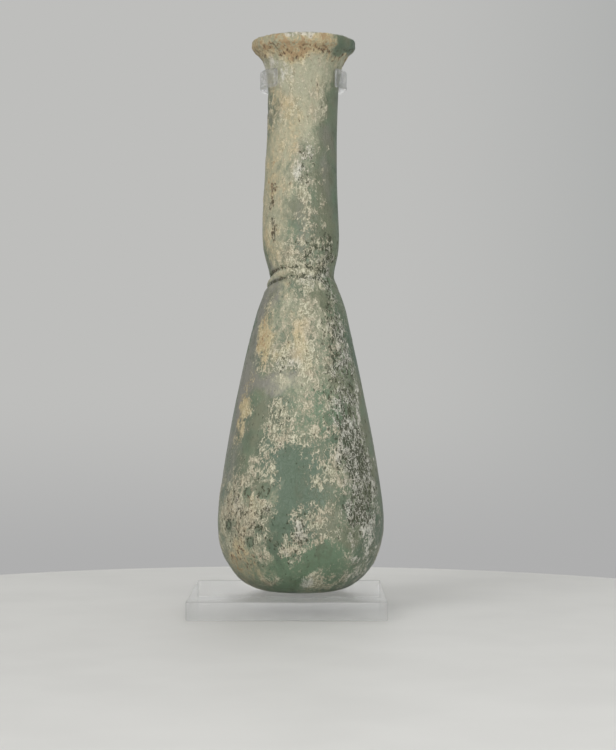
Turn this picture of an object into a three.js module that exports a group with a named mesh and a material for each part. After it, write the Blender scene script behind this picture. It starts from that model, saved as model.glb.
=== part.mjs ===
// A glass perfume flask with a long neck, standing in a clear acrylic cradle.
// Millimetres, +Z up, front towards -Y, origin at the middle of the cradle's underside.
import * as THREE from 'three';

// The flask's outline: radius and height above its own base.
const FOOT = { r: 9.4, z: 0 };
const BELLY = { r: 22.7, z: 19 };
const SHOULDER = { r: 12.3, z: 75.6 };
const WAIST = { r: 8.85, z: 85.2 };
const COLLAR = { r: 10.5, z: 97 };
const NECK = { r: 9.55, z: 128 };
const HEIGHT = 150;
const LIP = { r: 14.05, under: 1.3, band: 1, top: 0.7, turn: 50 };
const MOUTH = { r: 8.7, z: HEIGHT - 0.8 };
const BODY_SLOPE = new THREE.Vector2(0.235, -1).normalize();

// The wall: a little under 2 mm at the sides, thicker where the flask stands.
const WALL = 1.85;
const FLOOR = 2.6;

// The blown axis is not quite straight: a kick at the waist, then a lean along the neck.
const WAIST_KICK = { shift: 0.35, z: 82, reach: 10 };
const NECK_LEAN = { shift: 0.8, from: 104, to: 145 };

// The cradle, cut and bent from clear acrylic.
const PLATE = { width: 52.6, depth: 52.9, thickness: 5, corner: 0.8 };
const POST = { width: 9, thickness: 3, corner: 1.5, rise: 2 };
const CLIP = { inner: 10.5, strip: 1.4, height: 5, z: 136.4, leftTip: 43, rightTip: 55, stemWidth: 6 };
const EDGE = 0.35;
const GAP = 0.3;

// Places that follow from the sizes above.
const FLASK_X = 3.5;
const FLASK_Z = PLATE.thickness + GAP;
const POST_FRONT = PLATE.depth / 2 - POST.thickness - EDGE;
const CLIP_Z = FLASK_Z + CLIP.z;
const POST_TOP = CLIP_Z + CLIP.height + POST.rise;

const ROUND_SEGMENTS = 48;
const OUTER_STEPS = [10, 8, 5, 6, 5, 8];
const INNER_STEPS = [8, 6, 4, 4, 3, 4];
const LIP_STEPS = 4;

const glass = new THREE.MeshStandardMaterial({
  color: 0x8b9484, roughness: 0.45, metalness: 0, transparent: true, opacity: 0.85,
});
const acrylic = new THREE.MeshStandardMaterial({
  color: 0xe9ecea, roughness: 0.05, metalness: 0, transparent: true, opacity: 0.25,
});

const radians = THREE.MathUtils.degToRad;

function axisShift(z) {
  const kick = WAIST_KICK.shift * Math.exp(-(((z - WAIST_KICK.z) / WAIST_KICK.reach) ** 2));
  return kick + NECK_LEAN.shift * THREE.MathUtils.smoothstep(z, NECK_LEAN.from, NECK_LEAN.to);
}

// One stretch of outline between two stations, with a handle at each end.
function stretch(start, startHandle, end, endHandle) {
  const a = new THREE.Vector2(start.r, start.z);
  const b = new THREE.Vector2(end.r, end.z);
  return new THREE.CubicBezierCurve(a, a.clone().add(startHandle), b.clone().add(endHandle), b);
}

// The six stretches from the base up to the lip, moved in by the wall for the inside.
function sideOutline(inset, floor, lipEnd, lipHandle, steps) {
  const move = (station) => ({ r: station.r - inset, z: station.z });
  const foot = { r: FOOT.r, z: floor };
  const up = (length) => new THREE.Vector2(0, length);
  const slope = (length) => BODY_SLOPE.clone().multiplyScalar(length);
  const stretches = [
    stretch(foot, new THREE.Vector2(4.9 - inset, 0), move(BELLY), up(floor - 13.4)),
    stretch(move(BELLY), up(1.1), move(SHOULDER), slope(44.5)),
    stretch(move(SHOULDER), slope(-2.6), move(WAIST), up(0)),
    stretch(move(WAIST), up(3.5), move(COLLAR), up(-7)),
    stretch(move(COLLAR), up(2.6), move(NECK), up(-12)),
    stretch(move(NECK), up(12.8), lipEnd, lipHandle),
  ];
  return stretches.flatMap((curve, i) => curve.getPoints(steps[i]).slice(i ? 1 : 0));
}

// The lip's fire-rounded edge: a round underside, a short upright band and a tighter top.
function lipEdge() {
  const topZ = HEIGHT - LIP.top;
  const under = new THREE.EllipseCurve(
    LIP.r - LIP.under, topZ - LIP.band, LIP.under, LIP.under, radians(-LIP.turn), 0);
  const top = new THREE.EllipseCurve(LIP.r - LIP.top, topZ, LIP.top, LIP.top, 0, radians(100));
  return [...under.getPoints(LIP_STEPS), ...top.getPoints(LIP_STEPS)];
}

function flaskGeometry() {
  const lip = lipEdge();
  const turn = radians(LIP.turn);
  const underLip = new THREE.Vector2(-Math.sin(turn), -Math.cos(turn)).multiplyScalar(5);
  const lipStart = { r: lip[0].x, z: lip[0].y };
  const outside = sideOutline(0, 0, lipStart, underLip, OUTER_STEPS);
  const intoMouth = new THREE.Vector2(-1.2, -3.5);
  const inside = sideOutline(WALL, FLOOR, MOUTH, intoMouth, INNER_STEPS);
  const profile = [
    new THREE.Vector2(0, 0), ...outside, ...lip.slice(1),
    ...inside.reverse(), new THREE.Vector2(0, FLOOR),
  ];
  const geometry = new THREE.LatheGeometry(profile, ROUND_SEGMENTS);
  geometry.rotateX(Math.PI / 2);
  const position = geometry.attributes.position;
  for (let i = 0; i < position.count; i += 1) {
    position.setX(i, position.getX(i) + axisShift(position.getZ(i)));
  }
  geometry.computeVertexNormals();
  return geometry;
}

function roundedRectangle(width, height, corner) {
  const x = width / 2 - corner;
  const y = height / 2 - corner;
  const shape = new THREE.Shape();
  shape.absarc(x, y, corner, 0, Math.PI / 2);
  shape.absarc(-x, y, corner, Math.PI / 2, Math.PI);
  shape.absarc(-x, -y, corner, Math.PI, 1.5 * Math.PI);
  shape.absarc(x, -y, corner, 1.5 * Math.PI, 2 * Math.PI);
  shape.closePath();
  return shape;
}

// A sheet of the given outline and thickness from z = 0 up, with its polished edges eased.
function polishedSheet(shape, thickness, edge, curveSegments) {
  const geometry = new THREE.ExtrudeGeometry(shape, {
    depth: thickness - 2 * edge, curveSegments,
    bevelThickness: edge, bevelSize: edge, bevelOffset: -edge, bevelSegments: 1,
  });
  return geometry.translate(0, 0, edge);
}

// The clip seen from above: a strip bent round the neck, open at the front, with a stem behind.
function clipShape(stemEnd) {
  const outer = CLIP.inner + CLIP.strip;
  const middle = CLIP.inner + CLIP.strip / 2;
  const end = CLIP.strip / 2;
  const left = radians(270 - CLIP.leftTip);
  const right = radians(270 + CLIP.rightTip);
  const stemHalf = CLIP.stemWidth / 2;
  const stemAngle = Math.asin(stemHalf / outer);
  const shape = new THREE.Shape();
  shape.absarc(0, 0, CLIP.inner, left, right, true);
  shape.absarc(middle * Math.cos(right), middle * Math.sin(right), end, right - Math.PI, right);
  shape.absarc(0, 0, outer, right, Math.PI / 2 - stemAngle + 2 * Math.PI);
  shape.lineTo(stemHalf, stemEnd);
  shape.lineTo(-stemHalf, stemEnd);
  shape.absarc(0, 0, outer, Math.PI / 2 + stemAngle, left);
  shape.absarc(middle * Math.cos(left), middle * Math.sin(left), end, left, left + Math.PI);
  return shape;
}

function named(name, geometry, material) {
  const mesh = new THREE.Mesh(geometry, material);
  mesh.name = name;
  return mesh;
}

const object = new THREE.Group();

const footPlate = named('foot_plate', polishedSheet(
  roundedRectangle(PLATE.width, PLATE.depth, PLATE.corner), PLATE.thickness, EDGE, 3), acrylic);
object.add(footPlate);

const flask = named('flask', flaskGeometry(), glass);
flask.position.set(FLASK_X, 0, FLASK_Z);
object.add(flask);

const holder = new THREE.Group();
holder.position.x = FLASK_X + axisShift(CLIP.z + CLIP.height / 2);
object.add(holder);

const postHeight = POST_TOP - FLASK_Z;
const post = named('post', polishedSheet(
  roundedRectangle(POST.width, postHeight, POST.corner), POST.thickness, EDGE, 4), acrylic);
post.rotation.x = Math.PI / 2;
post.position.set(0, POST_FRONT + POST.thickness, FLASK_Z + postHeight / 2);
holder.add(post);

const neckClip = named('neck_clip', polishedSheet(
  clipShape(POST_FRONT - GAP), CLIP.height, EDGE / 2, 14), acrylic);
neckClip.position.z = CLIP_Z;
holder.add(neckClip);

export default object;
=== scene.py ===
# %% [markdown]
# # A glass perfume flask in its clear cradle
# The real thing is a small bottle of blown glass, nearly two thousand years old. It lay in the ground, so a
# crust has grown on it and flaked off again. A clear acrylic cradle holds it up: a plate, a post and a clip.
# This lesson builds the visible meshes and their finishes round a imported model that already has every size.

# %% Load the frame
import math

import bmesh
import bpy
import numpy as np
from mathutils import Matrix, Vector, geometry, noise


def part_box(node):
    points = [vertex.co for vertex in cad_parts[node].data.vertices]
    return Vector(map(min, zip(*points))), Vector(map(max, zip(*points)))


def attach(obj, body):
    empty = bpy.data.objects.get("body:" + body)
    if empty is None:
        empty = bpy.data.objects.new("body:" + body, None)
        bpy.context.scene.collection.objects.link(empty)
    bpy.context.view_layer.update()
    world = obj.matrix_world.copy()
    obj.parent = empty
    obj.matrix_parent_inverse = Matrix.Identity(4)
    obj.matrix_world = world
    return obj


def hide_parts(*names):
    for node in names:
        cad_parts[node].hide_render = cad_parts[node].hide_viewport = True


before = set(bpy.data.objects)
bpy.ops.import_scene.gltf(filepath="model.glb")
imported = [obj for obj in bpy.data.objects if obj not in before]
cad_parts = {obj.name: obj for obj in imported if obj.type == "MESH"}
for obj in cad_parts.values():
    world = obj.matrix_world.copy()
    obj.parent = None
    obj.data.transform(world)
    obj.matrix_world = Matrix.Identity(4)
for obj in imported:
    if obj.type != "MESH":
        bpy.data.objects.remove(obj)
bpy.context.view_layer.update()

print("nodes:", sorted(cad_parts))

# %% [markdown]
# ## Units and places
# Blender works in metres and a glassblower in millimetres, so one constant turns one into the other. The
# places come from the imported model: the flask's box gives its axis and the height of its foot.

# %% Units and the flask's place
MM = 0.001
FLASK_LOW, FLASK_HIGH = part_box("flask")
AXIS_X = (FLASK_LOW.x + FLASK_HIGH.x) / 2 / MM
AXIS_Y = (FLASK_LOW.y + FLASK_HIGH.y) / 2 / MM
BASE_Z = FLASK_LOW.z / MM
FLASK_HEIGHT = (FLASK_HIGH.z - FLASK_LOW.z) / MM
print("flask axis at x %.2f mm, foot at z %.2f mm, height %.1f mm" % (AXIS_X, BASE_Z, FLASK_HEIGHT))

# %% [markdown]
# ## The outline of the blown glass
# A blower swings and rolls a bubble on a pipe, so the vessel is round, and one outline turned about the axis
# gives it. The outline is six smooth stretches between named stations: foot, belly, shoulder, waist, collar,
# neck and lip. The same stretches, moved in by the wall's thickness, give the inside.

# %% Stations of the outline, in mm: radius and height
FOOT = Vector((9.4, 0))
BELLY = Vector((22.7, 19))
SHOULDER = Vector((12.3, 75.6))
WAIST = Vector((8.85, 85.2))
COLLAR = Vector((10.5, 97))
NECK = Vector((9.55, 128))
LIP_RADIUS = 14.05
LIP_UNDER = 1.3
LIP_BAND = 1.0
LIP_TOP = 0.7
LIP_TURN = 50
MOUTH = Vector((8.7, FLASK_HEIGHT - 0.8))
BODY_SLOPE = Vector((0.235, -1)).normalized()
WALL = 1.85
FLOOR = 2.6


def stretch(start, start_handle, end, end_handle, steps=60):
    """Points of one curved stretch between two stations."""
    return geometry.interpolate_bezier(start, start + start_handle, end + end_handle, end, steps)


def side_outline(inset, floor, lip_end, lip_handle):
    """The outline from the foot to the lip, moved in by inset."""
    def up(length):
        return Vector((0, length))

    def moved(station):
        return station - Vector((inset, 0))

    foot = Vector((FOOT.x, floor))
    stretches = [
        stretch(foot, Vector((4.9 - inset, 0)), moved(BELLY), up(floor - 13.4)),
        stretch(moved(BELLY), up(1.1), moved(SHOULDER), BODY_SLOPE * 44.5),
        stretch(moved(SHOULDER), BODY_SLOPE * -2.6, moved(WAIST), up(0)),
        stretch(moved(WAIST), up(3.5), moved(COLLAR), up(-7)),
        stretch(moved(COLLAR), up(2.6), moved(NECK), up(-12)),
        stretch(moved(NECK), up(12.8), lip_end, lip_handle),
    ]
    return [point for part in stretches for point in part[1:]]


# %% [markdown]
# The lip was turned outward in the fire, which rounds it into a bead. Rows of points are then set along the
# whole outline: closest at the lip, a little wider down the body, and wide inside, where nobody looks
# closely. Even rows matter here, because the relief can only be as fine as the mesh that carries it.

# %% The lip's rounded edge
def arc(radius, start, end, steps, centre=(0, 0)):
    """Points on an arc, angles in degrees."""
    turns = np.radians(np.linspace(start, end, steps))
    return [Vector((centre[0] + radius * math.cos(a), centre[1] + radius * math.sin(a))) for a in turns]


TOP_Z = FLASK_HEIGHT - LIP_TOP
LIP_EDGE = arc(LIP_UNDER, -LIP_TURN, 0, 12, (LIP_RADIUS - LIP_UNDER, TOP_Z - LIP_BAND))
LIP_EDGE += arc(LIP_TOP, 0, 100, 12, (LIP_RADIUS - LIP_TOP, TOP_Z))
UNDER_LIP = -5 * Vector((math.sin(math.radians(LIP_TURN)), math.cos(math.radians(LIP_TURN))))
OUTSIDE = side_outline(0, 0, LIP_EDGE[0], UNDER_LIP)
INSIDE = side_outline(WALL, FLOOR, MOUTH, Vector((-1.2, -3.5)))
print("outline: %d points outside, %d inside" % (len(OUTSIDE) + len(LIP_EDGE), len(INSIDE)))

# %% Evenly spaced rows: how far apart in mm, the smallest ring's radius, and the columns that go round
BODY_SPACING = 0.53
LIP_SPACING = 0.28
MOUTH_SPACING = 0.5
INSIDE_SPACING = 2.4
SMALLEST_RING = 0.6
COLUMNS = 240


def spaced(points, spacing):
    """The same line with its points about spacing apart."""
    line = np.array([tuple(p) for p in points])
    along = np.concatenate([[0], np.cumsum(np.hypot(*np.diff(line, axis=0).T))])
    count = max(2, round(along[-1] / spacing))
    wanted = np.linspace(0, along[-1], count + 1)
    return np.column_stack([np.interp(wanted, along, line[:, i]) for i in range(2)])


OUTER_ROWS = np.vstack([
    spaced([Vector((SMALLEST_RING, 0)), FOOT] + OUTSIDE, BODY_SPACING),
    spaced(LIP_EDGE, LIP_SPACING)[1:],
    spaced([LIP_EDGE[-1], MOUTH], MOUTH_SPACING)[1:],
])
INNER_ROWS = spaced(INSIDE[::-1] + [Vector((SMALLEST_RING, FLOOR))], INSIDE_SPACING)[1:]
ROWS = np.vstack([OUTER_ROWS, INNER_ROWS])
print("rows %d x columns %d: %d triangles" % (len(ROWS), COLUMNS, 2 * len(ROWS) * COLUMNS))

# %% [markdown]
# ## Where the crust has grown
# Buried glass loses its alkali to the damp soil. The surface turns to cream and ochre layers, flakes, and
# leaves bare green glass and small pits. The larger patches are listed one by one, as a restorer would draw
# them on a condition sheet, and noise bends every edge and fills in the grain. Each patch is a place on the
# surface: its angle from the front in degrees (to the right is positive), its height in mm, its half width
# in degrees, its half height in mm, and its strength. A negative strength is a place with less.

# %% Film: the thin milky skin on the glass
FILM_PATCHES = [
    (0, 144, 400, 7, 0.75),      # the lip and the throat
    (68, 148.8, 24, 2.6, -3.0),  # fresh bare glass at the right of the lip
    (-10, 132, 48, 9, 0.8),      # cream coat down the front of the neck
    (-62, 130, 26, 6, -0.75),    # thin at the left under the clip
    (-58, 108, 36, 22, 0.75),    # beige coat down the left of the neck
    (0, 118, 26, 9, 0.4),
    (4, 102, 18, 9, -0.2),       # grey-green middle
    (62, 113, 26, 26, -0.95),    # clear glass down the right of the neck
    (-8, 70, 56, 15, 0.36),      # streaky film over the top of the body
    (-50, 80, 20, 5, -0.4),      # thin left shoulder
    (-54, 45, 34, 14, -0.35),    # clear olive glass at the left
    (14, 52, 30, 8, 0.1),        # milky green band
    (0, 28, 24, 10, -0.5),       # clear green middle
    (-20, 6, 40, 6, -0.35),      # clear bottom
    (-45, 22, 30, 14, 0.35),
    (-76, 66, 14, 18, -0.6),     # clear glass along both sides of the body
    (76, 38, 12, 26, -0.4),
    (15, 11, 9, 3, -0.5),
    (-48, 8, 22, 6, 0.5),        # brownish film round the ochre at the lower left
]
print(len(FILM_PATCHES), "patches of film")

# %% Crust: the thick, flaking layer
CRUST_PATCHES = [
    (0, 147.5, 400, 4, 0.3),     # mottled lip
    (68, 148.8, 24, 2.6, -3.0),
    (-20, 136, 60, 10, 0.2),
    (4, 115, 18, 8, 0.34),       # grains in the middle of the neck
    (8, 103, 6, 7, 0.25),        # pale streaks under them
    (-48, 107, 26, 16, 0.15),
    (72, 112, 24, 26, -0.6),
    (45, 120.7, 5, 1.2, 0.7),    # three pale ticks on it
    (33, 106, 4, 1.2, 0.6),
    (40, 100.5, 3, 0.8, 0.6),
    (30, 90, 50, 6, 0.36),       # rough ring above the waist
    (8, 77, 8, 9, 0.36),         # cream streak below the waist
    (-44, 80, 24, 6, -0.3),      # bare left shoulder
    (-46, 69, 11, 8, 0.42),      # ochre patch at the left
    (-4, 69, 12, 7, 0.26),       # a second one in the middle
    (-12, 62, 24, 5, 0.38),      # pinkish cream under both
    (-10, 70, 50, 14, 0.12),
    (-50, 47, 36, 14, -0.4),     # bare olive glass, left of the middle
    (-14, 56, 18, 2.5, -0.4),    # and across it
    (-58, 48, 10, 7.5, 0.95),    # ochre island in it
    (-20, 46, 14, 8, 0.68),      # beige island beside it
    (17, 46, 20, 9, 0.14),       # green band with white specks
    (16, 36, 16, 7, 0.22),
    (0, 30, 15, 6, -0.3),        # bare green centre, low down
    (-38, 33, 14, 5, 0.3),       # top of the large beige crust at the lower left
    (-46, 20, 26, 10, 0.45),     # and the rest of it
    (-26, 28, 5, 2, -1.8),       # the round bare hole in it
    (-14, 19, 4, 9, -0.6),       # the bare run beside it
    (0, 17, 13, 6, 0.4),         # cream patch above the foot
    (48, 50, 24, 36, 0.15),      # the speckled band down the right of the body
    (56, 30, 22, 18, 0.14),
    (-16, 5, 24, 4, -0.4),       # bare dark glass at the bottom
    (-31, 4, 9, 1.6, 0.6),       # whitish patch in it
    (9, 3.6, 12, 2.6, 0.8),      # pinkish star of crust by the foot
    (15, 11, 9, 3, -0.6),
    (-76, 66, 14, 18, -0.4),     # little crust along both sides of the body
    (76, 38, 12, 26, -0.3),
]
print(len(CRUST_PATCHES), "patches of crust")

# %% What colours the crust: ochre from iron in the soil, and chalk
OCHRE_PATCHES = [
    (0, 147, 400, 2.6, 1.2),
    (-10, 134, 60, 12, 0.3),
    (-50, 108, 40, 24, 0.45),
    (-10, 124, 14, 4, 0.45),
    (-52, 114, 14, 6, 0.4),
    (-60, 92, 20, 5, 0.4),
    (-20, 68, 40, 14, 0.2),
    (-46, 69, 11, 6, 0.8),
    (-5, 68, 9, 4, 0.4),
    (-58, 48.5, 11, 8.5, 0.9),
    (-46, 22, 26, 12, 0.25),
    (-50, 9, 12, 4, 0.9),
    (-52, 6, 20, 5, 0.5),
]
CHALK_PATCHES = [
    (0, 150.2, 400, 0.8, 0.9),
    (-60, 141, 40, 4, 0.5),
    (5, 115, 18, 8, 0.4),
    (-10, 61, 14, 4, 0.3),
    (-38, 24, 16, 7, 0.2),
    (30, 88, 40, 5, 0.3),
    (0, 16, 14, 6, 0.3),
    (2, 3.5, 12, 2, 0.5),
    (56, 38, 24, 40, 0.9),
]
print(len(OCHRE_PATCHES), "patches of ochre,", len(CHALK_PATCHES), "of chalk")

# %% What changes the bare glass: its tint and its thickness, and the pits
GREY_PATCHES = [                 # glass gone grey where its skin has turned
    (-50, 81, 24, 6, 1.0),
    (-62, 66, 16, 16, 0.7),
    (-22, 57, 26, 3, 0.9),
    (-70, 40, 18, 16, 0.6),
    (50, 118, 20, 16, 0.5),
    (4, 102, 12, 10, 0.5),
]
# Teal is partly painted light: clear blue-green glass, and at the bottom a paler colour painted for light
# coming up through the clear plate.
TEAL_AND_UNDERLIGHT_PATCHES = [                 # glass that is still clear and blue-green
    (18, 51, 24, 8, 0.8),
    (4, 33, 20, 9, 0.3),
    # painted light: the bottom of the flask painted paler, as if lit from below through the plate
    (0, 4, 50, 8, 1.2),
    (16, 12, 12, 4, 0.9),
    (66, 104, 14, 20, 0.4),
]
DEEP_PATCHES = [                 # thicker glass, darker
    (0, 30, 20, 10, 1.0),
    (-26, 36, 12, 6, 0.7),
    (-14, 17, 7, 10, 0.7),
]
PIT_PATCHES = [
    (44, 58, 17, 30, 1.0),       # the pitted band down the right of the body
    (48, 30, 18, 14, 0.9),       # its darkest part
    (46, 21, 9, 3, 0.7),
    (36, 90, 40, 6, 0.8),        # above the waist, at the right
    (6, 115, 12, 5, 0.7),        # the middle of the neck
    (0, 145.5, 400, 1.6, 0.7),   # under the lip
    (-46, 20, 24, 10, 0.85),
    (-4, 16, 14, 6, 0.8),
    (-18, 46, 14, 7, 0.4),
    (-8, 62, 22, 4, 0.4),
    (-47, 110, 5, 2, 1.4),
    (-47, 105, 5, 2, 1.4),
    (-45, 99.5, 5, 2, 1.4),
    (-45, 96, 5, 2, 1.4),
]
print(len(GREY_PATCHES + TEAL_AND_UNDERLIGHT_PATCHES + DEEP_PATCHES), "patches of tint,", len(PIT_PATCHES), "of pits")

# %% Blisters that burst in the crust: angle in degrees, height and radius in mm
BLISTERS = [(-26, 27.8, 1.6), (-40, 27.5, 1.1), (-58, 18.5, 1.2), (-37, 14.5, 1.2), (-29, 18.2, 0.9)]


# %% From patches and noise to numbers
def patches(angle, height, rows):
    """The sum of soft oval patches at each point of the surface."""
    total = np.zeros_like(angle)
    for centre, level, wide, tall, amount in rows:
        turn = (angle - centre + 180) % 360 - 180
        reach = np.hypot(turn / wide, (height - level) / tall)
        total += amount * np.clip(1.6 - reach, 0, 1) ** 1.2
    return total


def grain(points, size, octaves, seed):
    """Fractal noise at points in mm, with features of about the given size, from about -1 to 1."""
    shift = Vector((seed * 7.13, seed * 3.71, seed * 5.37))
    return np.array([noise.fractal(Vector(p) / size + shift, 0.85, 2.1, octaves) for p in points])


# %% [markdown]
# ## The relief
# The mesh itself carries what the eye would see at the edge of the flask: a body that is not quite round,
# the two lines left by the pincers at the waist, a lumpy lip, crust that stands a tenth of a millimetre
# proud, and the larger pits. Finer grain is left to the finish.

# %% The points of the glass before any relief, one per row and column
turns = np.arange(COLUMNS) * 2 * math.pi / COLUMNS
angle = np.tile(np.degrees(turns), len(ROWS))
radius = np.repeat(ROWS[:, 0], COLUMNS)
height = np.repeat(ROWS[:, 1], COLUMNS)
outer = np.repeat(np.arange(len(ROWS)) < len(OUTER_ROWS), COLUMNS)

tangent = np.gradient(ROWS, axis=0)
tangent /= np.hypot(*tangent.T)[:, None]
normal_r = np.repeat(tangent[:, 1], COLUMNS)
normal_z = np.repeat(-tangent[:, 0], COLUMNS)


# %% The leaning axis: a small kick at the waist and a lean along the neck, in mm
KICK, KICK_HEIGHT, KICK_REACH = 0.35, 82, 10
LEAN, LEAN_FROM, LEAN_TO = 0.8, 104, 145


def step(low, high, value):
    """0 below low, 1 above high, and smooth between."""
    t = np.clip((value - low) / (high - low), 0, 1)
    return t * t * (3 - 2 * t)


def placed(radius, height, angle):
    """Points in mm on the leaning axis, the front at angle 0 and the right at 90."""
    shift = KICK * np.exp(-((height - KICK_HEIGHT) / KICK_REACH) ** 2)
    shift = shift + LEAN * step(LEAN_FROM, LEAN_TO, height)
    x = AXIS_X + shift + radius * np.sin(np.radians(angle))
    y = AXIS_Y - radius * np.cos(np.radians(angle))
    return np.column_stack([x, y, BASE_Z + height])


smooth = placed(radius, height, angle)
print("points:", len(smooth))

# %% [markdown]
# A field is one number at each point. The same numbers shape the mesh and, stored on its points, drive the
# finish, so the crust stands proud and the pits gather in the same places as their colours.

# %% The fields: film, crust and their colours at every point
FILM_EVERYWHERE = 0.16
CRUST_EVERYWHERE = 0.31
CRUST_INSIDE = 0.5
bend = grain(smooth, 9, 3, 1)
bent_angle = (angle + 7 * bend + 180) % 360 - 180
bent_height = height + 2.2 * grain(smooth, 7, 3, 2)
coarse = grain(smooth, 5, 4, 3)
fine = grain(smooth * (1, 1, 0.6), 1.3, 4, 4)

film = FILM_EVERYWHERE + patches(bent_angle, bent_height, FILM_PATCHES) + 0.3 * coarse
crust = CRUST_EVERYWHERE + patches(bent_angle, bent_height, CRUST_PATCHES) + 0.4 * coarse + 0.2 * fine
crust = np.where(outer, crust, CRUST_INSIDE + 0.5 * coarse)
ochre = patches(bent_angle, bent_height, OCHRE_PATCHES) + 0.25 * grain(smooth, 6, 3, 5)
chalk = patches(bent_angle, bent_height, CHALK_PATCHES) + 0.3 * grain(smooth, 4, 3, 6)
pitting = patches(bent_angle, bent_height, PIT_PATCHES) + 0.25 * grain(smooth, 5, 2, 7)
grey = patches(bent_angle, bent_height, GREY_PATCHES) + 0.3 * grain(smooth, 7, 3, 12)
teal_and_underlight = patches(bent_angle, bent_height, TEAL_AND_UNDERLIGHT_PATCHES) + 0.3 * grain(smooth, 7, 3, 13)
deep = patches(bent_angle, bent_height, DEEP_PATCHES) + 0.3 * grain(smooth, 7, 3, 14)

# %% Dirt and cream at the two lines that the pincers left
LINE_DIP = 3.2
LINE_TURN = 10
LINE_GAP = 2.6


def band(level, width):
    """1 at a level that may change with the angle, fading over width."""
    return np.exp(-((height - level) / width) ** 2)


line = WAIST.y - LINE_DIP * (1 - np.cos(np.radians(angle + LINE_TURN)))
left_side = 0.5 - 0.5 * np.sin(np.radians(angle))
# Dirt stays in both lines, most of all at the left, and the cream coat has stayed on between them.
pitting += (band(line, 0.45) + band(line + LINE_GAP, 0.4)) * (0.4 + 1.9 * left_side)
between = left_side * band(line + LINE_GAP / 2, 0.6)
film += 1.2 * between
crust += 0.6 * between

# %% Each blister: a rim of crust round a bare hole with dirt at its edge
for centre, level, size in BLISTERS:
    across = np.radians((angle - centre + 180) % 360 - 180) * radius
    reach = np.hypot(across, height - level) / size
    inside = outer * np.clip(1.5 - reach, 0, 0.5) * 2
    edge = outer * np.exp(-((reach - 1.1) / 0.3) ** 2)
    crust += edge * 0.3 - inside * 0.9
    film -= inside * 0.5
    pitting += outer * np.exp(-((reach - 0.85) / 0.2) ** 2) * 0.9
print("crust covers %.0f%% of the outside" % (100 * np.mean(crust[outer] > 0.5)))

# %% The relief in mm, outward from the surface
OUT_OF_ROUND = 0.16
CRUST_HEIGHT = 0.12
CRUST_GRAIN = 0.05
PIT_DEPTH = 0.16
LIP_LUMPS = 0.16
LIP_GRAIN = 0.1

pits = step(0.30, 0.55, grain(smooth, 1.1, 2, 8) + 0.45 * pitting - 0.1)
near_lip = step(139, 147, height)
relief = OUT_OF_ROUND * grain(smooth, 26, 2, 9)
relief -= (0.15 + 0.85 * left_side) * (0.55 * band(line, 0.6) + 0.45 * band(line + LINE_GAP, 0.5))
relief += CRUST_HEIGHT * step(0.35, 0.65, crust) + CRUST_GRAIN * fine * step(0.3, 0.6, crust)
relief -= PIT_DEPTH * pits
relief += near_lip * (LIP_LUMPS * grain(smooth, 3.2, 3, 10) + LIP_GRAIN * grain(smooth, 1.2, 2, 11))
# The foot stays flat, and the inside smooth.
relief *= step(0.2, 3.0, height) * outer
print("relief from %.2f to %.2f mm" % (relief.min(), relief.max()))

# %% [markdown]
# ## The mesh of the flask
# Rows and columns make a grid that closes round the flask. It runs from the middle of the foot, up the
# outside, over the lip and down the inside, so the wall has its true thickness and the vessel is hollow and
# empty. A screw modifier could turn an outline too, but a grid keeps every point's angle and height at hand.

# %% The points and faces of the flask
def on_axis(height):
    """The point in metres where the axis is at a height."""
    return tuple(placed(np.array([0.0]), np.array([float(height)]), np.array([0.0]))[0] * MM)


worked = placed(radius + relief * normal_r, height + relief * normal_z, angle) * MM
vertices = [*map(tuple, worked), on_axis(0), on_axis(FLOOR)]
FOOT_INDEX, FLOOR_INDEX = len(vertices) - 2, len(vertices) - 1


def ring_faces(rows, columns):
    """Faces of a grid that closes round, with a fan at each end."""
    faces = []
    last = (rows - 1) * columns
    for j in range(columns):
        k = (j + 1) % columns
        faces.append((FOOT_INDEX, k, j))
        faces.append((FLOOR_INDEX, last + j, last + k))
        for low in range(0, last, columns):
            high = low + columns
            faces.append((low + j, low + k, high + k, high + j))
    return faces


# %% A mesh object from points and faces
def new_piece(name, vertices, faces, smooth_faces=True):
    """A mesh object with its faces pointing out."""
    mesh = bpy.data.meshes.new(name)
    mesh.from_pydata(vertices, [], faces)
    mesh.polygons.foreach_set("use_smooth", [smooth_faces] * len(mesh.polygons))
    work = bmesh.new()
    work.from_mesh(mesh)
    bmesh.ops.recalc_face_normals(work, faces=work.faces)
    work.to_mesh(mesh)
    work.free()
    piece = bpy.data.objects.new(name, mesh)
    bpy.context.scene.collection.objects.link(piece)
    return piece


# %% Build the flask and store the fields on its points
flask = new_piece("blown_flask", vertices, ring_faces(len(ROWS), COLUMNS))
FIELDS = {
    "film": film, "crust": crust, "ochre": ochre, "chalk": chalk, "pitting": pitting,
    "grey": grey, "teal_and_underlight": teal_and_underlight, "deep": deep,
}
ON_AXIS_VALUE = 0.5
for field_name, values in FIELDS.items():
    field = flask.data.attributes.new(field_name, "FLOAT", "POINT")
    field.data.foreach_set("value", np.append(values, [ON_AXIS_VALUE] * 2).astype(np.float32))
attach(flask, "root")
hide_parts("flask")
print("flask:", len(flask.data.polygons), "faces")

# %% [markdown]
# ## The clear cradle
# The cradle is acrylic: a plate with polished edges, a post, and a strip softened in hot air and bent round
# the neck. Each piece is an outline pushed up to its thickness, with its edges eased by a small bevel,
# because a polished edge is never sharp and its highlight is what the eye finds on clear plastic.

# %% Outlines and sheets, in mm
EDGE = 0.35
BEVEL_SEGMENTS = 3
BEVEL_FROM_DEGREES = 50


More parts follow.
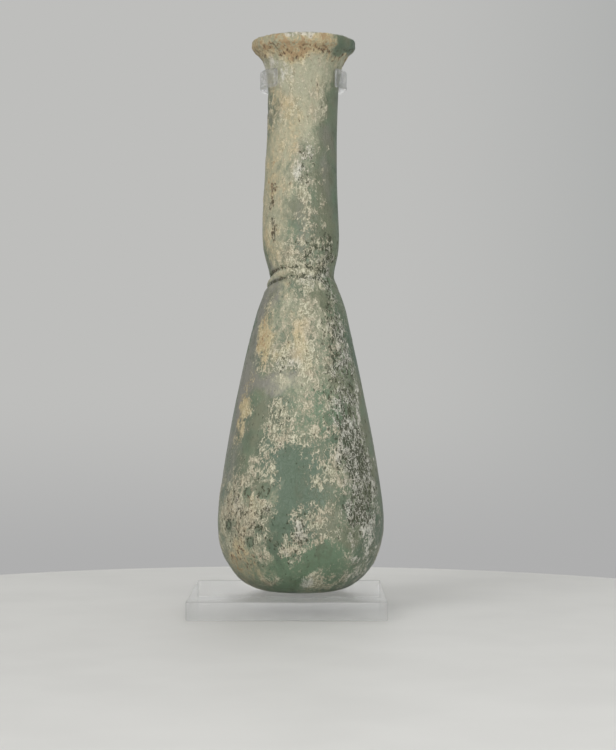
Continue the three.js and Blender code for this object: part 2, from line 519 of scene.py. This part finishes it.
def rounded_rectangle(width, depth, corner, steps=6):
    """The outline of a plate seen from above, centred on the origin, in mm."""
    points = []
    for quarter, (sx, sy) in enumerate(((1, 1), (-1, 1), (-1, -1), (1, -1))):
        for turn in np.linspace(quarter * 90, quarter * 90 + 90, steps):
            a = math.radians(turn)
            points.append((sx * (width / 2 - corner) + corner * math.cos(a),
                           sy * (depth / 2 - corner) + corner * math.sin(a)))
    return points


def prism_faces(count):
    """The bottom, top and sides of a block whose outline has count points."""
    sides = [(i, (i + 1) % count, count + (i + 1) % count, count + i) for i in range(count)]
    return [tuple(range(count)), tuple(range(count, 2 * count)), *sides]


def sheet_piece(name, outline, thickness, place, edge=EDGE):
    """A sheet of the given outline, its edges eased, with place turning a point in mm to the frame's mm."""
    points = [Vector(place(x, y, z)) * MM for z in (0, thickness) for x, y in outline]
    piece = new_piece(name, points, prism_faces(len(outline)))
    bevel = piece.modifiers.new("eased edge", "BEVEL")
    bevel.width = edge * MM
    bevel.segments = BEVEL_SEGMENTS
    bevel.limit_method = "ANGLE"
    bevel.angle_limit = math.radians(BEVEL_FROM_DEGREES)
    # Flat faces keep flat shading, so that clear plastic doesn't look like a pillow.
    bevel.harden_normals = True
    bpy.context.view_layer.update()
    made = bpy.data.meshes.new_from_object(piece.evaluated_get(bpy.context.evaluated_depsgraph_get()))
    piece.modifiers.clear()
    piece.data = made
    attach(piece, "root")
    print(name, "has", len(made.polygons), "faces")
    return piece


# %% [markdown]
# Such a plate and post are sawn from sheet, and their edges are polished. Their sizes are read from the
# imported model, so the visible pieces lie exactly over it.

# %% The foot plate and the post, corners in mm
PLATE_CORNER = 0.8
POST_CORNER = 1.5


def size_and_middle(node):
    """The size and the middle of a CAD node's box, in mm."""
    low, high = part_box(node)
    return (high - low) / MM, (high + low) / 2 / MM


size, middle = size_and_middle("foot_plate")
plate = sheet_piece(
    "acrylic_plate", rounded_rectangle(size.x, size.y, PLATE_CORNER), size.z,
    lambda x, y, z: (middle.x + x, middle.y + y, middle.z - size.z / 2 + z))
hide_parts("foot_plate")

post_size, post_middle = size_and_middle("post")
post = sheet_piece(
    "acrylic_post", rounded_rectangle(post_size.x, post_size.z, POST_CORNER), post_size.y,
    lambda x, y, z: (post_middle.x + x, post_middle.y - post_size.y / 2 + z, post_middle.z + y))
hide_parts("post")

# %% [markdown]
# The clip is one strip that goes round the neck from tip to tip, open at the front so that the flask can be
# lifted out, with a short stem back to the post. Its two rounded tips are all that shows from the front.

# %% The neck clip: mm, and its tips in degrees from the front
CLIP_INNER = 10.5
STRIP = 1.4
CLIP_EDGE = 0.6
LEFT_TIP, RIGHT_TIP = 43, 55
STEM = 6
clip_low, clip_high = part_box("neck_clip")
clip_x = (clip_low.x + clip_high.x) / 2 / MM
clip_height = (clip_high.z - clip_low.z) / MM
stem_end = clip_high.y / MM - AXIS_Y


def clip_outline():
    """The clip from above: inner arc, tip, outer arc, stem, outer arc, tip."""
    outer_radius = CLIP_INNER + STRIP
    stem_turn = math.degrees(math.asin(STEM / 2 / outer_radius))
    # Directions are counted from the right, so the front is at 270 degrees, or at -90.
    left, right = 270 - LEFT_TIP, RIGHT_TIP - 90
    middle_radius = CLIP_INNER + STRIP / 2
    left_tip = arc(middle_radius, left, left, 1)[0]
    right_tip = arc(middle_radius, right, right, 1)[0]
    return (
        arc(CLIP_INNER, left, right, 60)
        + arc(STRIP / 2, right - 180, right, 8, right_tip)[1:-1]
        + arc(outer_radius, right, 90 - stem_turn, 28)
        + [(STEM / 2, stem_end), (-STEM / 2, stem_end)]
        + arc(outer_radius, 90 + stem_turn, left, 28)
        + arc(STRIP / 2, left, left + 180, 8, left_tip)[1:-1]
    )


clip = sheet_piece(
    "acrylic_clip", clip_outline(), clip_height,
    lambda x, y, z: (clip_x + x, AXIS_Y + y, clip_low.z / MM + z), CLIP_EDGE)
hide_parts("neck_clip")

# %% [markdown]
# ## Tools for the finishes
# Colours are written as they look on a screen and turned to the linear values that light works in. One small
# function adds a node, sets it and links it, and every finish below is written with it.

# %% Colours and nodes
def linear(hex_colour):
    """A colour written #rrggbb, as linear RGBA."""
    parts = [int(hex_colour[i:i + 2], 16) / 255 for i in (1, 3, 5)]
    return [p / 12.92 if p <= 0.04045 else ((p + 0.055) / 1.055) ** 2.4 for p in parts] + [1.0]


def node(tree, kind, settings=None, **inputs):
    """Adds a node. A setting is a property; an input is a value, or another node's socket to link.

    An input goes by its name, or by its place, as i0, i1 and so on, where names repeat.
    """
    made = tree.nodes.new(kind)
    for name, value in (settings or {}).items():
        setattr(made, name, value)
    for name, value in inputs.items():
        key = int(name[1:]) if name[0] == "i" and name[1:].isdigit() else name.replace("_", " ")
        socket = made.inputs[key]
        if isinstance(value, bpy.types.NodeSocket):
            tree.links.new(value, socket)
        else:
            socket.default_value = value
    return made


def new_finish(name):
    """An empty material, its node tree and its output."""
    material = bpy.data.materials.new(name)
    material.use_nodes = True
    tree = material.node_tree
    tree.nodes.clear()
    return material, tree, tree.nodes.new("ShaderNodeOutputMaterial")


# %% [markdown]
# ## Finish: weathered glass
# Soda-lime glass made with beach sand is blue-green from its iron. Here it is dull, because the damp has
# etched it, so it lets light through but shows nothing sharp. The crust on it is mineral: matt, cream to
# ochre, pinkish and chalky in places. One shader does both, and the crust field decides where each shows.

# %% Weathered glass: its colours
GLASS_GREEN = "#718067"
GLASS_DEEP = "#5c6f5a"
GLASS_OLIVE = "#7a7e66"
GLASS_DARK = "#5c644d"
GLASS_GREY = "#87857a"
# This teal is partly painted light: made paler so that the bottom looks lit from below through the plate.
GLASS_TEAL_AND_UNDERLIGHT = "#6c8368"
FILM_LIGHT = "#b6b49b"
FILM_DARK = "#85886f"
FILM_BEIGE = "#c8b995"
CRUST_CREAM = "#c9c4ac"
CRUST_MIDDLE = "#9d9b84"
CRUST_DARK = "#7d7b66"
CRUST_OCHRE = "#c4ad7c"
CRUST_RUST = "#94744f"
CRUST_CHALK = "#d8d8d4"
CRUST_PINK = "#b8a692"
PIT_GREEN = "#3f4330"
PIT_BROWN = "#574531"

glass_finish, tree, output = new_finish("etched_glass_with_mineral_crust")


# %% Small helpers for patterns, which add to whichever tree is being built
def field_value(name):
    """One of the fields stored on the flask's points."""
    return node(tree, "ShaderNodeAttribute", {"attribute_name": name}).outputs["Fac"]


def calc(operation, a, b=0.0, c=0.0):
    """The result of one Math node."""
    return node(tree, "ShaderNodeMath", {"operation": operation}, i0=a, i1=b, i2=c).outputs[0]


def speckle(size_mm, detail, where, roughness=0.55):
    """Noise whose features are about size_mm across."""
    return node(tree, "ShaderNodeTexNoise", Vector=where, Scale=1 / (size_mm * MM), Detail=detail,
                Roughness=roughness).outputs["Fac"]


def ramp(value, low, high):
    """0 below low, 1 above high, smooth between."""
    return node(tree, "ShaderNodeMapRange", {"interpolation_type": "SMOOTHSTEP"}, Value=value,
                From_Min=low, From_Max=high).outputs["Result"]


def about(level, *wobbles):
    """level with each noise, which is 0.5 on average, added by its own amount."""
    for noise_value, amount in wobbles:
        level = calc("ADD", level, calc("MULTIPLY_ADD", noise_value, amount, -amount / 2))
    return level


def blend(share, first, second):
    """first where share is 0 and second where it is 1."""
    made = node(tree, "ShaderNodeMix", {"data_type": "RGBA"}, Factor=share)
    for index, colour in ((6, first), (7, second)):
        if isinstance(colour, bpy.types.NodeSocket):
            tree.links.new(colour, made.inputs[index])
        else:
            made.inputs[index].default_value = linear(colour)
    return made.outputs[2]


# %% [markdown]
# Weathering works at every scale at once, so each mask below is a field, which says roughly where, plus noise
# at several sizes from 8 mm down to 0.4 mm, which says exactly where. The thread-like worm pattern is the
# narrow zone where a noise crosses its middle value. It gives the crust the look of fine lace.

# %% Weathered glass: its noises, by their size in mm
where = node(tree, "ShaderNodeTexCoord").outputs["Object"]
# The glass was drawn out lengthwise, so its flakes are longer upwards than wide, and its streaks more so.
drawn = node(tree, "ShaderNodeMapping", Vector=where, Scale=(1, 1, 0.55)).outputs[0]
streaky = node(tree, "ShaderNodeMapping", Vector=where, Scale=(1, 1, 0.12)).outputs[0]
cloud = speckle(8, 4, where)
flake = speckle(1.7, 5, drawn, 0.65)
crumb = speckle(0.8, 3, drawn, 0.6)
grit = speckle(0.4, 3, where, 0.6)
streak = speckle(1.3, 4, streaky)
worm = ramp(calc("ABSOLUTE", calc("SUBTRACT", speckle(0.9, 3, drawn, 0.6), 0.5)), 0.06, 0.01)
print("noise nodes:", sum(n.bl_idname == "ShaderNodeTexNoise" for n in tree.nodes))

# %% Weathered glass: its masks
film_level = about(field_value("film"), (cloud, 1.0), (streak, 0.7), (flake, 1.2), (crumb, 0.8))
film_mask = calc("MULTIPLY", ramp(film_level, -0.05, 0.95), 0.92)
crust_level = about(field_value("crust"), (flake, 1.3), (crumb, 0.9), (grit, 0.7), (worm, 0.3))
crust_mask = calc("MULTIPLY", ramp(crust_level, 0.34, 0.68), 0.94)
speck = ramp(about(field_value("film"), (speckle(0.55, 3, where), 3.2), (cloud, 1.4)), 0.35, 0.75)
pit_level = about(calc("MULTIPLY", field_value("pitting"), 0.34), (speckle(0.85, 3, drawn, 0.6), 2.0))
pit_mask = calc("MULTIPLY", ramp(pit_level, 0.26, 0.5), calc("SUBTRACT", 1.0, calc("MULTIPLY", worm, 0.8)))
ochre_mask = ramp(about(field_value("ochre"), (flake, 0.9), (cloud, 0.5)), 0.1, 0.9)
rust_mask = ramp(about(field_value("ochre"), (crumb, 2.0), (flake, 2.4)), 1.0, 1.5)
chalk_mask = ramp(about(field_value("chalk"), (flake, 1.0), (grit, 0.6)), 0.2, 0.8)

# %% Weathered glass: the colour of the glass and the film on it
glass_colour = blend(ramp(cloud, 0.42, 0.62), GLASS_OLIVE, GLASS_GREEN)
glass_colour = blend(ramp(speckle(13, 2, where), 0.42, 0.62), glass_colour, GLASS_DEEP)
glass_colour = blend(ramp(field_value("grey"), 0.2, 0.9), glass_colour, GLASS_GREY)
# Partly painted light: the teal field pales the bottom of the flask as if light came up through the plate.
glass_colour = blend(ramp(field_value("teal_and_underlight"), 0.2, 0.9), glass_colour, GLASS_TEAL_AND_UNDERLIGHT)
glass_colour = blend(ramp(field_value("deep"), 0.2, 0.9), glass_colour, GLASS_DEEP)
thick = calc("MULTIPLY_ADD", field_value("film"), 0.45, 0.28)
film_tone = ramp(about(thick, (flake, 1.7), (crumb, 1.1), (grit, 0.8), (streak, 0.6)), 0.1, 0.9)
mottle = ramp(about(0.5, (speckle(3, 4, drawn), 1.5), (speckle(4, 3, streaky), 1.2), (crumb, 0.8)), 0.45, 1.0)
glass_colour = blend(calc("MULTIPLY", mottle, 0.7), glass_colour, GLASS_DARK)
film_colour = blend(film_tone, FILM_DARK, blend(ochre_mask, FILM_LIGHT, FILM_BEIGE))
glass_colour = blend(film_mask, glass_colour, film_colour)
glass_colour = blend(calc("MULTIPLY", speck, 0.55), glass_colour, CRUST_MIDDLE)

# %% Weathered glass: the colour of the crust and the pits
tone = about(calc("MULTIPLY", worm, 0.55), (crumb, 1.6), (grit, 1.4), (flake, 0.9))
crust_colour = blend(ramp(tone, -0.2, 0.22), CRUST_DARK, CRUST_MIDDLE)
crust_colour = blend(ramp(tone, 0.15, 0.68), crust_colour, CRUST_CREAM)
crust_colour = blend(calc("MULTIPLY", ramp(speckle(5, 2, where), 0.45, 0.6), 0.3), crust_colour, CRUST_PINK)
crust_colour = blend(calc("MULTIPLY", ochre_mask, 0.5), crust_colour, CRUST_OCHRE)
crust_colour = blend(calc("MULTIPLY", rust_mask, 0.7), crust_colour, CRUST_RUST)
crust_colour = blend(calc("MULTIPLY", chalk_mask, 0.5), crust_colour, CRUST_CHALK)
pit_colour = blend(ochre_mask, PIT_GREEN, PIT_BROWN)
surface_colour = blend(crust_mask, glass_colour, crust_colour)
surface_colour = blend(calc("MULTIPLY", pit_mask, 0.92), surface_colour, pit_colour)

# %% Weathered glass: roughness, clearness and relief
BUMP_DEPTH = 0.22 * MM
covered = calc("MAXIMUM", calc("MAXIMUM", crust_mask, pit_mask), film_mask)
relief_level = about(calc("MULTIPLY", crust_mask, 0.6), (grit, 0.6), (crumb, 0.6), (worm, 0.3))
relief_level = calc("SUBTRACT", relief_level, calc("MULTIPLY", pit_mask, 0.8))
bump = node(tree, "ShaderNodeBump", Strength=0.8, Distance=BUMP_DEPTH, Height=relief_level)
shader = node(
    tree, "ShaderNodeBsdfPrincipled",
    Base_Color=surface_colour,
    Roughness=calc("MULTIPLY_ADD", covered, 0.45, 0.36),
    Transmission_Weight=calc("MULTIPLY", calc("SUBTRACT", 1.0, covered), 0.2),
    IOR=1.52,
    Normal=bump.outputs[0])
tree.links.new(shader.outputs[0], output.inputs["Surface"])
flask.data.materials.append(glass_finish)
print(glass_finish.name, "has", len(tree.nodes), "nodes")

# %% [markdown]
# ## Finish: clear acrylic
# Cast acrylic is among the clearest of plastics, and its index of refraction, 1.49, is close to glass. What
# shows are its edges and a little dust and handling, so the finish is clear with plain values, and only its
# roughness and a very shallow bump change over the surface.

# %% Clear acrylic
SCUFF_DEPTH = 0.02 * MM
acrylic_finish, tree, output = new_finish("polished_cast_acrylic")
where = node(tree, "ShaderNodeTexCoord").outputs["Object"]
haze = speckle(6, 4, where)
scuff = speckle(0.8, 2, where)
bump = node(tree, "ShaderNodeBump", Strength=0.15, Distance=SCUFF_DEPTH, Height=scuff)
shader = node(
    tree, "ShaderNodeBsdfPrincipled",
    Base_Color=linear("#fdfefe"),
    Roughness=calc("MULTIPLY_ADD", haze, 0.12, 0.1),
    Transmission_Weight=1.0,
    IOR=1.49,
    Alpha=0.55,
    Normal=bump.outputs[0])
tree.links.new(shader.outputs[0], output.inputs["Surface"])
for piece in (plate, post, clip):
    piece.data.materials.append(acrylic_finish)
print(acrylic_finish.name, "has", len(tree.nodes), "nodes")

# %% [markdown]
# ## The floor, the light and the camera
# The flask stands on a plain pale round table with a plain grey room behind it. The room lights it softly
# from all round, and four soft lamps, above, behind and to both sides in front, give it form.

# %% Floor, in mm
FLOOR_RADIUS = 165
FLOOR_MIDDLE = (-3, -49)
FLOOR_DEPTH = 12
FLOOR_TOP = -0.02
rim = arc(FLOOR_RADIUS, 0, 358, 180, FLOOR_MIDDLE)
points = [Vector((x, y, z)) * MM for z in (-FLOOR_DEPTH, FLOOR_TOP) for x, y in rim]
floor = new_piece("pale_floor", points, prism_faces(len(rim)), smooth_faces=False)
print("floor: a disc of radius", FLOOR_RADIUS, "mm")

# %% Finish of the floor: matt painted board, a little uneven in its paint
BOARD_DULL = "#d0cfcc"
BOARD_PALE = "#d4d3d0"
floor_finish, tree, output = new_finish("matt_white_board")
where = node(tree, "ShaderNodeTexCoord").outputs["Object"]
board = blend(ramp(speckle(30, 2, where), 0.3, 0.7), BOARD_DULL, BOARD_PALE)
shader = node(tree, "ShaderNodeBsdfPrincipled", Base_Color=board, Roughness=0.6)
tree.links.new(shader.outputs[0], output.inputs["Surface"])
floor.data.materials.append(floor_finish)

# %% Room: a grey wall, paler at the left, and a duller ground below the table
WALL_LEFT = "#bebebc"
WALL_RIGHT = "#a9abaa"
GROUND = "#aeaeae"
world = bpy.data.worlds.new("grey_room")
bpy.context.scene.world = world
world.use_nodes = True
tree = world.node_tree
tree.nodes.clear()
direction = node(tree, "ShaderNodeTexCoord").outputs["Generated"]
parts = node(tree, "ShaderNodeSeparateXYZ", Vector=direction).outputs
wall = blend(ramp(parts["X"], 0.03, 0.26), WALL_LEFT, WALL_RIGHT)
wall = blend(ramp(parts["Z"], -0.11, 0.0), GROUND, wall)
background = node(tree, "ShaderNodeBackground", Color=wall, Strength=1.0)
world_output = tree.nodes.new("ShaderNodeOutputWorld")
tree.links.new(background.outputs[0], world_output.inputs["Surface"])
print("room:", world.name)


# %% Lamps
def soft_lamp(name, place, target, size, power):
    """A square soft lamp, all in mm, shining at a target."""
    light = bpy.data.lights.new(name, "AREA")
    light.size = size * MM
    light.energy = power
    lamp = bpy.data.objects.new(name, light)
    lamp.location = Vector(place) * MM
    lamp.rotation_euler = (Vector(target) - Vector(place)).to_track_quat("-Z", "Y").to_euler()
    bpy.context.scene.collection.objects.link(lamp)
    return lamp


soft_lamp("lamp_front_left", (-420, -520, 380), (0, 0, 80), 420, 2.35)
low_lamp = soft_lamp("lamp_low_right", (200, -420, 30), (0, 0, 20), 240, 1.1)
# Through the clear post it would be a white square, so it isn't seen through anything.
low_lamp.visible_transmission = False
soft_lamp("lamp_behind", (140, 460, 560), (0, 0, 60), 420, 0.85)
soft_lamp("lamp_above", (60, -40, 700), (0, 0, 0), 500, 0.5)
print("lamps:", len(bpy.data.lights))

# %% Camera
# The camera stands below the middle of the flask, half a metre away, a little to its right, and looks level.
CAMERA_RIGHT, CAMERA_FRONT, CAMERA_UP = 2.0, -498.6, 56.2
FOCAL_LENGTH = 87.4
SENSOR_WIDTH = 36
UPWARD_SHIFT = 0.012
camera_data = bpy.data.cameras.new("camera")
camera_data.lens = FOCAL_LENGTH
camera_data.sensor_width = SENSOR_WIDTH
camera_data.shift_y = UPWARD_SHIFT
camera_data.clip_start = 0.01
camera = bpy.data.objects.new("camera", camera_data)
camera.location = Vector((AXIS_X + CAMERA_RIGHT, CAMERA_FRONT, BASE_Z + CAMERA_UP)) * MM
camera.rotation_euler = (math.radians(90), 0, 0)
bpy.context.scene.collection.objects.link(camera)
bpy.context.scene.camera = camera
print("camera: %.1f mm lens, %.0f mm in front" % (FOCAL_LENGTH, -CAMERA_FRONT))

# %% How colours are shown and how far light may travel
bpy.context.scene.view_settings.view_transform = "Standard"
# Light turns many corners inside clear plastic before it comes out, so the paths may be long.
bpy.context.scene.cycles.max_bounces = 24
bpy.context.scene.cycles.glossy_bounces = 16
bpy.context.scene.cycles.transmission_bounces = 24
